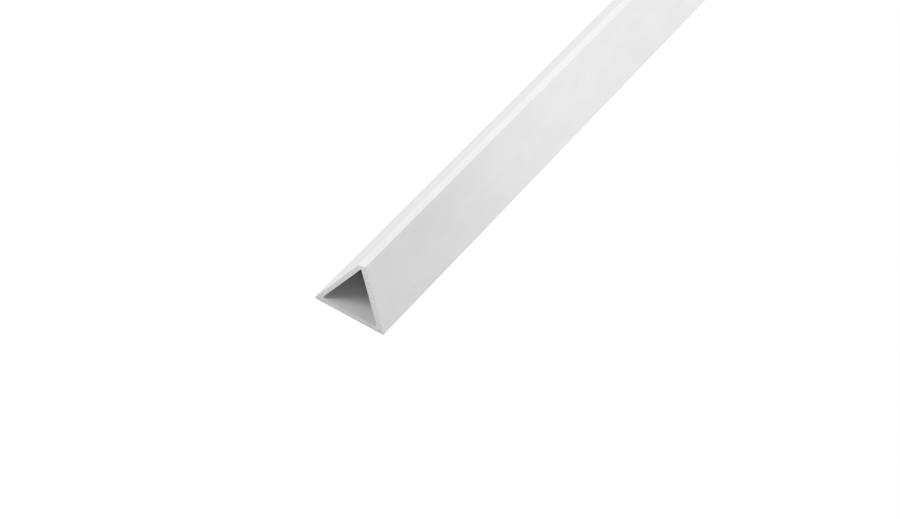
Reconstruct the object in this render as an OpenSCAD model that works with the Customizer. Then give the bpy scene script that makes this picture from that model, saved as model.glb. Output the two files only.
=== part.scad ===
// Hollow triangular trim, extruded in one piece from rigid white PVC.
// The strip lies on its base along Y. The origin is at the middle of the base, on the surface it lies on.
// Seen along +Y, the narrow flat on the ridge rises towards +X, and left is -X.

/* [Stock] */
// Length of the strip, cut square at both ends
length = 2500; // [500:50:3000]

/* [Section] */
// Overall width, across the two rounded corners of the base
width = 25; // [16:0.5:40]
// Slope of both side walls above the base, in degrees
side_angle = 61; // [50:1:68]
// Thickness of the base wall
base_wall = 1.6; // [1:0.1:2.5]
// Thickness of the left side wall
left_wall = 1.5; // [1:0.1:2.5]
// Thickness of the right side wall
right_wall = 1.8; // [1:0.1:2.5]

/* [Ridge] */
// Width of the narrow flat along the ridge, over its sharp corners
ridge_w = 2.7; // [1.5:0.1:3.5]
// Tilt of the ridge flat above level, in degrees, rising towards the right
ridge_tilt = 20; // [0:1:30]

/* [Corners] */
// Radius of the two outer corners along the base
base_corner_r = 0.4; // [0.2:0.1:1.2]
// Radius of the two outer corners along the ridge flat
ridge_corner_r = 0.2; // [0.1:0.05:0.5]
// Radius of the two inner corners along the base
bore_corner_r = 0.6; // [0.2:0.1:1.2]
// Radius of the inner corner under the ridge, which grows where the wall under the ridge flat would be too thin
bore_ridge_r = 0.2; // [0.1:0.05:1]

/* [Hidden] */
// Number of facets that round each corner
corner_steps = 8;
// Thinnest wall left under the ridge flat
least_ridge_wall = 1;
// How far the bore's cutter runs past each end
through = 1;

// Half the base between the sharp corners that the rounding takes off
half_w = width / 2 + base_corner_r * (1 / tan(side_angle / 2) - 1);
// Height of the sharp ridge that the side walls would meet in
apex_h = half_w * tan(side_angle);
apex_angle = 180 - 2 * side_angle;
// Distances from that sharp ridge down each side to the ridge flat
left_cut = ridge_w * sin(side_angle + ridge_tilt) / sin(apex_angle);
right_cut = ridge_w * sin(side_angle - ridge_tilt) / sin(apex_angle);
ridge_left = [-left_cut * cos(side_angle), apex_h - left_cut * sin(side_angle)];
ridge_right = [right_cut * cos(side_angle), apex_h - right_cut * sin(side_angle)];

// The bore's sharp corners lie inside the outer ones, a wall's thickness from each side
bore_left = -half_w + left_wall / sin(side_angle) + base_wall / tan(side_angle);
bore_right = half_w - right_wall / sin(side_angle) - base_wall / tan(side_angle);
bore_ridge = [
    (bore_left + bore_right) / 2,
    base_wall + (bore_right - bore_left) / 2 * tan(side_angle)
];
// Wall between the bore's sharp ridge and the ridge flat, and what each millimetre of radius adds to it
sharp_ridge_wall = [-sin(ridge_tilt), cos(ridge_tilt)] * (ridge_left - bore_ridge);
wall_per_radius = cos(ridge_tilt) / cos(side_angle) - 1;
ridge_wall_r = (least_ridge_wall - sharp_ridge_wall) / wall_per_radius;

// Both outlines run counterclockwise from the left end of the base
outer_corners = [[-half_w, 0], [half_w, 0], ridge_right, ridge_left];
outer_radii = [base_corner_r, base_corner_r, ridge_corner_r, ridge_corner_r];
bore_corners = [[bore_left, base_wall], [bore_right, base_wall], bore_ridge];
bore_radii = [bore_corner_r, bore_corner_r, max(bore_ridge_r, ridge_wall_r)];

function unit(v) = v / norm(v);

// Points along the arc that rounds one corner of a counterclockwise outline
function corner_arc(points, corner, radius) =
    let (
        count = len(points),
        back = unit(points[(corner + count - 1) % count] - points[corner]),
        ahead = unit(points[(corner + 1) % count] - points[corner]),
        half_angle = acos(back * ahead) / 2,
        centre = points[corner] + unit(back + ahead) * radius / sin(half_angle),
        start = atan2(-back[1], -back[0]) - 90,
        turn = 180 - 2 * half_angle
    )
    [
        for (step = [0 : corner_steps])
            let (angle = start + turn * step / corner_steps)
            centre + radius * [cos(angle), sin(angle)]
    ];

module rounded(points, radii) {
    polygon([for (corner = [0 : len(points) - 1]) each corner_arc(points, corner, radii[corner])]);
}

// Carries an outline drawn in X and Z along Y, centred on the origin
module along_y(run) {
    translate([0, run / 2, 0])
        rotate([90, 0, 0])
            linear_extrude(height = run)
                children();
}

module trim() {
    color("whitesmoke")
        difference() {
            along_y(length)
                rounded(outer_corners, outer_radii);
            along_y(length + 2 * through)
                rounded(bore_corners, bore_radii);
        }
}

trim();
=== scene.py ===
import math
from collections import namedtuple

import bmesh
import bpy
from mathutils import Matrix, Vector


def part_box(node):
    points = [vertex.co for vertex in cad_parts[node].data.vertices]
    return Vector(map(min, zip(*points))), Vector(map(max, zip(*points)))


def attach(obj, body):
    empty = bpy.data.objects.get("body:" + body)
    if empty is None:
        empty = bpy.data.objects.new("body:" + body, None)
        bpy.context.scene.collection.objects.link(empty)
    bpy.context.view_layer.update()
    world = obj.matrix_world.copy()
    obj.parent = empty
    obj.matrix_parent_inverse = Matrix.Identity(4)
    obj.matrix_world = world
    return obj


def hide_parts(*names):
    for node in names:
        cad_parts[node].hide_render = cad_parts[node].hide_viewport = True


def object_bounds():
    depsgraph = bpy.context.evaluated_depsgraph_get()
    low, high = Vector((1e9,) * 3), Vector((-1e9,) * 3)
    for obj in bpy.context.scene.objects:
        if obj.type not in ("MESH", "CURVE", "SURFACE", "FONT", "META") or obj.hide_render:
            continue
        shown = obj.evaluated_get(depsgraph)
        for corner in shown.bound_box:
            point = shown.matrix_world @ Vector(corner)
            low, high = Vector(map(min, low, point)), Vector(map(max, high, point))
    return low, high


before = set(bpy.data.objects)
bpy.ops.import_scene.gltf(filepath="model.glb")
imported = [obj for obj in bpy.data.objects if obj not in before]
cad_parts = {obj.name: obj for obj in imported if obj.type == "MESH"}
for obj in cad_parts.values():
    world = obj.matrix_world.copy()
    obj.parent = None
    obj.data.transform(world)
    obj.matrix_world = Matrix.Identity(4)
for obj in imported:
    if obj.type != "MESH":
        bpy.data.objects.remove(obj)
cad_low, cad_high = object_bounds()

MM = 0.001
NODE = "trim"
BODY = "root"

# Mesh of the strip
SAME_POINT = 7  # decimals of a metre that tell two points apart
FLAT_STEP = 1.2 * MM  # widest facet across a flat
STATION_STEP = 20 * MM  # longest facet along the strip
OUTER_EDGE_R = 0.15 * MM  # broken edge round the outside of a sawn end
BORE_EDGE_R = 0.08 * MM  # broken edge round the bore's mouth
EDGE_STEPS = 4
HOLDING_STEP = 0.5 * MM  # facet beside a broken edge, which keeps the shading of the long ones flat
RIDGE_DROP = 1 * MM  # how far below the strip's top its ridge flat reaches
# The ridge flat's facets get their own paler copy of the drawn material: a painted highlight where the
# flat faces the light from above
DRAWN, SAWN, PAINTED_LIT_RIDGE = range(3)  # materials of its facets

# Materials: how pale and how rough they are before their patterns
DRAWN_PALE = 0.8
DRAWN_ROUGH = 0.5
# The ridge flat's copy is painted paler, as painted light from above, and is a little less rough
PAINTED_LIT_RIDGE_PALE = 0.84
PAINTED_LIT_RIDGE_ROUGH = 0.46
SAWN_PALE = 0.79
SAWN_ROUGH = 0.6

# Patterns in the materials: how large their spots are along X, Y and Z, how far they move the paleness,
# the roughness and the relief either way, how many degrees they lean from upright, and how finely they
# are broken up
Pattern = namedtuple("Pattern", "size pale rough relief lean detail", defaults=(0, 0, 0, 0, 2))
CLOUDS = Pattern((9 * MM, 18 * MM, 9 * MM), pale=0.045, rough=0.045, detail=3)
DRAW_LINES = Pattern((0.45 * MM, 900 * MM, 0.45 * MM), pale=0.01, rough=0.1, relief=0.003 * MM)
BROAD_LINES = Pattern((2.5 * MM, 1500 * MM, 2.5 * MM), pale=0.01, rough=0.06, relief=0.008 * MM)
PEEL = Pattern((0.9 * MM, 1.4 * MM, 0.9 * MM), relief=0.004 * MM)
SMUDGES = Pattern((0.9 * MM, 0.9 * MM, 0.9 * MM), pale=0.18, rough=0.1, relief=0.02 * MM, detail=3)
SAW_MARKS = Pattern((0.3 * MM, 5 * MM, 7 * MM), pale=0.08, rough=0.12, relief=0.015 * MM, lean=28)
GRAIN = Pattern((0.12 * MM, 0.12 * MM, 0.12 * MM), pale=0.05, relief=0.006 * MM)
DRAWN_PATTERNS = [CLOUDS, DRAW_LINES, BROAD_LINES, PEEL]
SAWN_PATTERNS = [SMUDGES, SAW_MARKS, GRAIN]

# Camera: its place from the middle of the near end's base, and in degrees its direction and its lean
CAMERA_FROM_NEAR_END = Vector((0.289403, -0.784483, 0.718585))
CAMERA_AZIMUTH = 18.5325
CAMERA_ELEVATION = 39.3587
CAMERA_LEAN = 16.0811
CAMERA_LENS = 142.983
CAMERA_SENSOR = 36
CAMERA_SEES_FROM = 0.01

# Stage: the floor and the backdrop glow, so that they are as white as the photograph's background
FLOOR_HALF = 90
FLOOR_GLOW = 0.935
FLOOR_PAINT = 0.08
BACKDROP_R = 95
BACKDROP_GLOW = 1
BACKDROP_SEGMENTS = 32
END_SHADE_GLOW = 0.65
END_SHADE_DEPTH = 4 * MM  # of the shaded floor at the foot of the near end
SIDE_SHADE_GLOW = 0.84
SIDE_SHADE_DEPTH = 60 * MM  # of the shaded floor along the foot of the left side
SHADE_LIFT = 0.02 * MM

# Light
SKY_EVEN = 0.03
SKY_FAR = 0.93  # what the sky is brighter by towards the far end
SKY_TOP = 0.24  # what it is brighter by overhead
SKY_FAR_FROM_TO = (-0.5, 0.3)  # directions along Y between which the sky grows so much brighter
SKY_TOP_FROM_TO = (0.4, 1.0)  # and along Z
KEY_TRAVEL = Vector((0.4, 0.64, -1))  # the way the key light shines
KEY_STRENGTH = 1.18
KEY_SPREAD = 28  # degrees across the key light
BAR_GAP = 0.06  # from the strip's sides to the light bars beside it
BAR_W = 0.05
BAR_START = 0.075  # from the near end to where the bars begin, which leaves that end a little darker
RIGHT_BAR_OUTWARD = Vector((0.87, 0, 0.48))  # the way from the strip to that bar
RIGHT_BAR_GLOW = 0.55
LEFT_BAR_OUTWARD = Vector((-0.8, 0, 0.6))
LEFT_BAR_GLOW = 0.16


def linked(name, data):
    """A new object with that mesh, light or camera, in the scene."""
    made = bpy.data.objects.new(name, data)
    bpy.context.scene.collection.objects.link(made)
    return made


# Section of the strip


def end_outlines(mesh, end_y):
    """The end face's outlines as lists of (x, z) points, outer one first, with the wall on their left."""
    def place(vertex):
        x, y, z = mesh.vertices[vertex].co
        return round(x, SAME_POINT), round(z, SAME_POINT)

    sides = set()
    for face in mesh.polygons:
        if all(round(mesh.vertices[v].co.y - end_y, SAME_POINT - 1) == 0 for v in face.vertices):
            corners = [place(v) for v in face.vertices]
            sides.update(zip(corners, corners[1:] + corners[:1]))
    follows = {a: b for a, b in sides if (b, a) not in sides}
    outlines = []
    while follows:
        outline = [min(follows)]
        while outline[-1] in follows:
            outline.append(follows.pop(outline[-1]))
        outlines.append([Vector(point) for point in outline[:-1]])
    return sorted(outlines, key=length_round, reverse=True)


def pairs(outline):
    """Each point of a closed outline with the next one."""
    return zip(outline, outline[1:] + outline[:1])


def length_round(outline):
    return sum((b - a).length for a, b in pairs(outline))


def with_short_sides(outline, longest):
    """The same outline with its long sides cut into equal parts."""
    points = []
    for a, b in pairs(outline):
        parts = math.ceil((b - a).length / longest)
        points += [a.lerp(b, part / parts) for part in range(parts)]
    return points


def moved_in(outline, distance):
    """The outline moved into the wall, square to its sides."""
    inward = [Vector((a.y - b.y, b.x - a.x)).normalized() for a, b in pairs(outline)]
    moved = []
    for point, before, after in zip(outline, inward[-1:] + inward[:-1], inward):
        moved.append(point + (before + after) * distance / (1 + before.dot(after)))
    return moved


# Mesh of the strip


def stations(low_y, high_y, edge_r):
    """Places along the strip with how far the outline has moved into the wall there, from end to end."""
    turns = [math.radians(90 * step / EDGE_STEPS) for step in range(EDGE_STEPS + 1)]
    edge = [(edge_r * (1 - math.cos(turn)), edge_r * (1 - math.sin(turn))) for turn in turns]
    run_low = low_y + edge_r + HOLDING_STEP
    run_high = high_y - edge_r - HOLDING_STEP
    parts = math.ceil((run_high - run_low) / STATION_STEP)
    run = [(run_low + (run_high - run_low) * part / parts, 0) for part in range(parts + 1)]
    near_edge = [(low_y + y, move) for y, move in edge]
    far_edge = [(high_y - y, move) for y, move in reversed(edge)]
    return near_edge + run + far_edge


def add_tube(bm, outline, places):
    """A tube of rings along the outline. Returns the closed edges of its two ends."""
    ridge_foot = cad_high.z - RIDGE_DROP
    # Facets on the ridge flat get the paler material, whose paleness is painted light from above
    looks = [PAINTED_LIT_RIDGE if min(a.y, b.y) > ridge_foot else DRAWN for a, b in pairs(outline)]
    rings = []
    for y, move in places:
        rings.append([bm.verts.new((p.x, y, p.y)) for p in moved_in(outline, move)])
    for number, (ring, after) in enumerate(zip(rings, rings[1:])):
        on_edge = number < EDGE_STEPS or number >= len(rings) - 1 - EDGE_STEPS
        for (a, b), (c, d), look in zip(pairs(ring), pairs(after), looks):
            bm.faces.new((b, a, c, d)).material_index = SAWN if on_edge else look
    return [[bm.edges.get(pair) for pair in pairs(ring)] for ring in (rings[0], rings[-1])]


def add_end_face(bm, edges):
    """Fills the wall's cut face between the outer and the inner outline."""
    made = bmesh.ops.triangle_fill(bm, use_beauty=True, use_dissolve=False, edges=edges)
    for face in made["geom"]:
        if isinstance(face, bmesh.types.BMFace):
            face.material_index = SAWN


def make_strip(materials):
    """The visible strip, with its materials in the order drawn, sawn, and the ridge flat's paler copy
    with painted light.
    """
    low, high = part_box(NODE)
    outer, bore = end_outlines(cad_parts[NODE].data, low.y)
    bm = bmesh.new()
    ends = []
    for outline, edge_r in ((outer, OUTER_EDGE_R), (bore, BORE_EDGE_R)):
        ends.append(add_tube(bm, with_short_sides(outline, FLAT_STEP), stations(low.y, high.y, edge_r)))
    for outer_edges, bore_edges in zip(*ends):
        add_end_face(bm, outer_edges + bore_edges)
    bmesh.ops.recalc_face_normals(bm, faces=bm.faces)
    mesh = bpy.data.meshes.new("pvc_strip")
    bm.to_mesh(mesh)
    bm.free()
    for material in materials:
        mesh.materials.append(material)
    mesh.shade_smooth()
    strip = linked("pvc_strip", mesh)
    flats = strip.modifiers.new("flat shading of the flats", "WEIGHTED_NORMAL")
    flats.mode = "FACE_AREA"
    return strip


# Materials


def new_material(name):
    """A node material. Returns it with its tree and its shader."""
    material = bpy.data.materials.new(name)
    material.use_nodes = True
    tree = material.node_tree
    return material, tree, tree.nodes["Principled BSDF"]


def add_node(tree, kind, **values):
    """A node of that kind, with its properties and its inputs set by name."""
    node = tree.nodes.new(kind)
    for name, value in values.items():
        if name in node.inputs:
            node.inputs[name].default_value = value
        else:
            setattr(node, name, value)
    return node


def spots(tree, pattern):
    """The noise of a pattern, between 0 and 1."""
    place = add_node(tree, "ShaderNodeTexCoord")
    fitted = add_node(tree, "ShaderNodeMapping", vector_type="TEXTURE", Scale=pattern.size)
    fitted.inputs["Rotation"].default_value[1] = math.radians(pattern.lean)
    noise = add_node(tree, "ShaderNodeTexNoise", Scale=1, Detail=pattern.detail)
    tree.links.new(place.outputs["Object"], fitted.inputs["Vector"])
    tree.links.new(fitted.outputs["Vector"], noise.inputs["Vector"])
    return noise.outputs[0]


def weighted_sum(tree, start, terms):
    """A number plus each source times its weight."""
    total = start
    for source, weight in terms:
        term = add_node(tree, "ShaderNodeMath", operation="MULTIPLY_ADD")
        tree.links.new(source, term.inputs[0])
        term.inputs[1].default_value = weight
        if total is start:
            term.inputs[2].default_value = start
        else:
            tree.links.new(total, term.inputs[2])
        total = term.outputs[0]
    return total


def swung(tree, middle, noises, swings):
    """A value about the middle that each noise moves by up to its swing either way."""
    terms = [(noise, 2 * swing) for noise, swing in zip(noises, swings) if swing]
    return weighted_sum(tree, middle - sum(swings), terms)


def patterned_pvc(name, pale, rough, patterns):
    """Satin white PVC with those patterns in its paleness, its roughness and its relief."""
    material, tree, shader = new_material(name)
    noises = [spots(tree, pattern) for pattern in patterns]
    paleness = swung(tree, pale, noises, [pattern.pale for pattern in patterns])
    roughness = swung(tree, rough, noises, [pattern.rough for pattern in patterns])
    relief = swung(tree, 0, noises, [pattern.relief for pattern in patterns])
    bump = add_node(tree, "ShaderNodeBump", Strength=1, Distance=1)
    tree.links.new(paleness, shader.inputs["Base Color"])
    tree.links.new(roughness, shader.inputs["Roughness"])
    tree.links.new(relief, bump.inputs["Height"])
    tree.links.new(bump.outputs["Normal"], shader.inputs["Normal"])
    return material


def glowing(name, strength, paint):
    """A pale material that also gives off an even light."""
    material, tree, shader = new_material(name)
    shader.inputs["Base Color"].default_value = (paint, paint, paint, 1)
    shader.inputs["Roughness"].default_value = 1
    shader.inputs["Specular IOR Level"].default_value = 0
    shader.inputs["Emission Color"].default_value = (1, 1, 1, 1)
    shader.inputs["Emission Strength"].default_value = strength
    material.cycles.emission_sampling = "NONE"
    return material


# Stage, light and camera


def sheet(name, low, high, height, material):
    """A level rectangle between those X and Y, as part of the stage."""
    bm = bmesh.new()
    corners = (low, (high[0], low[1]), high, (low[0], high[1]))
    bm.faces.new([bm.verts.new((x, y, height)) for x, y in corners])
    mesh = bpy.data.meshes.new(name)
    bm.to_mesh(mesh)
    bm.free()
    mesh.materials.append(material)
    made = linked(name, mesh)
    return made


def make_floor():
    pale = glowing("pale_floor", FLOOR_GLOW, FLOOR_PAINT)
    sheet("floor", (-FLOOR_HALF, -FLOOR_HALF), (FLOOR_HALF, FLOOR_HALF), 0, pale)


def make_shade(name, low, high, glow):
    """A patch of weaker floor, which only the strip sees."""
    shade = sheet(name, low, high, SHADE_LIFT, glowing(name, glow, FLOOR_PAINT))
    shade.visible_camera = False
    shade.visible_shadow = False


def make_backdrop():
    """A white sphere round the stage, which only the camera sees."""
    bm = bmesh.new()
    bmesh.ops.create_uvsphere(
        bm, u_segments=BACKDROP_SEGMENTS, v_segments=BACKDROP_SEGMENTS // 2, radius=BACKDROP_R
    )
    mesh = bpy.data.meshes.new("backdrop")
    bm.to_mesh(mesh)
    bm.free()
    mesh.materials.append(glowing("pale_backdrop", BACKDROP_GLOW, 0))
    backdrop = linked("backdrop", mesh)
    backdrop.visible_diffuse = False
    backdrop.visible_glossy = False
    backdrop.visible_transmission = False
    backdrop.visible_shadow = False


def make_sky():
    """A soft white dome, brighter towards the far end and overhead."""
    world = bpy.data.worlds.new("studio")
    bpy.context.scene.world = world
    world.use_nodes = True
    tree = world.node_tree
    towards = add_node(tree, "ShaderNodeTexCoord")
    parts = add_node(tree, "ShaderNodeSeparateXYZ")
    tree.links.new(towards.outputs["Generated"], parts.inputs[0])
    terms = []
    for axis, (from_here, to_here), more in (
        ("Y", SKY_FAR_FROM_TO, SKY_FAR),
        ("Z", SKY_TOP_FROM_TO, SKY_TOP),
    ):
        ramp = add_node(tree, "ShaderNodeMapRange", interpolation_type="SMOOTHSTEP")
        ramp.inputs["From Min"].default_value = from_here
        ramp.inputs["From Max"].default_value = to_here
        tree.links.new(parts.outputs[axis], ramp.inputs["Value"])
        terms.append((ramp.outputs["Result"], more))
    backing = tree.nodes["Background"]
    backing.inputs["Color"].default_value = (1, 1, 1, 1)
    tree.links.new(weighted_sum(tree, SKY_EVEN, terms), backing.inputs["Strength"])


def stand(name, data, place, right, up, back):
    """Puts a light or the camera there, with its own X, Y and Z axes along right, up and back."""
    made = linked(name, data)
    made.matrix_world = Matrix.Translation(place) @ Matrix((right, up, back)).transposed().to_4x4()
    return made


def make_key():
    """A broad light from the left, above the near end."""
    lamp = bpy.data.lights.new("key", "SUN")
    lamp.energy = KEY_STRENGTH
    lamp.angle = math.radians(KEY_SPREAD)
    back = -KEY_TRAVEL.normalized()
    right = Vector((0, 1, 0)).cross(back).normalized()
    stand("key", lamp, Vector(), right, back.cross(right), back)


def make_bar(name, outward, glow):
    """A light bar along the strip, facing one of its sides."""
    length = cad_high.y - cad_low.y - BAR_START
    lamp = bpy.data.lights.new(name, "AREA")
    lamp.shape = "RECTANGLE"
    lamp.size = BAR_W
    lamp.size_y = length
    lamp.energy = glow * math.pi * BAR_W * length
    back = outward.normalized()
    along = Vector((0, 1, 0))
    place = (cad_low + cad_high) / 2 + back * BAR_GAP
    place.y = cad_high.y - length / 2
    stand(name, lamp, place, along.cross(back), along, back).visible_camera = False


def make_camera():
    azimuth = math.radians(CAMERA_AZIMUTH)
    elevation = math.radians(CAMERA_ELEVATION)
    lean = math.radians(CAMERA_LEAN)
    level = Vector((math.cos(azimuth), math.sin(azimuth), 0))
    back = Vector((math.sin(azimuth), -math.cos(azimuth), math.tan(elevation))).normalized()
    upright = back.cross(level)
    right = level * math.cos(lean) + upright * math.sin(lean)
    up = upright * math.cos(lean) - level * math.sin(lean)
    lens = bpy.data.cameras.new("camera")
    lens.lens = CAMERA_LENS
    lens.sensor_width = CAMERA_SENSOR
    lens.sensor_fit = "HORIZONTAL"
    lens.clip_start = CAMERA_SEES_FROM
    lens.clip_end = 2 * BACKDROP_R
    place = Vector((0, cad_low.y, 0)) + CAMERA_FROM_NEAR_END
    bpy.context.scene.camera = stand("camera", lens, place, right, up, back)


drawn = patterned_pvc("drawn_white_pvc", DRAWN_PALE, DRAWN_ROUGH, DRAWN_PATTERNS)
sawn = patterned_pvc("sawn_white_pvc", SAWN_PALE, SAWN_ROUGH, SAWN_PATTERNS)
# The ridge flat's material: the drawn PVC painted paler, a painted highlight for the light from above
painted_lit_ridge = patterned_pvc("white_pvc_painted_lit_ridge", PAINTED_LIT_RIDGE_PALE, PAINTED_LIT_RIDGE_ROUGH, DRAWN_PATTERNS)
strip = make_strip([drawn, sawn, painted_lit_ridge])
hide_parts(NODE)
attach(strip, BODY)
make_floor()
end_foot = (cad_low.x, cad_low.y - END_SHADE_DEPTH), (cad_high.x, cad_low.y)
side_foot = (cad_low.x - SIDE_SHADE_DEPTH, cad_low.y), (cad_low.x, cad_high.y)
make_shade("end_shade", *end_foot, END_SHADE_GLOW)
make_shade("side_shade", *side_foot, SIDE_SHADE_GLOW)
make_backdrop()
make_sky()
make_key()
make_bar("right_bar", RIGHT_BAR_OUTWARD, RIGHT_BAR_GLOW)
make_bar("left_bar", LEFT_BAR_OUTWARD, LEFT_BAR_GLOW)
make_camera()
bpy.context.scene.view_settings.view_transform = "Standard"
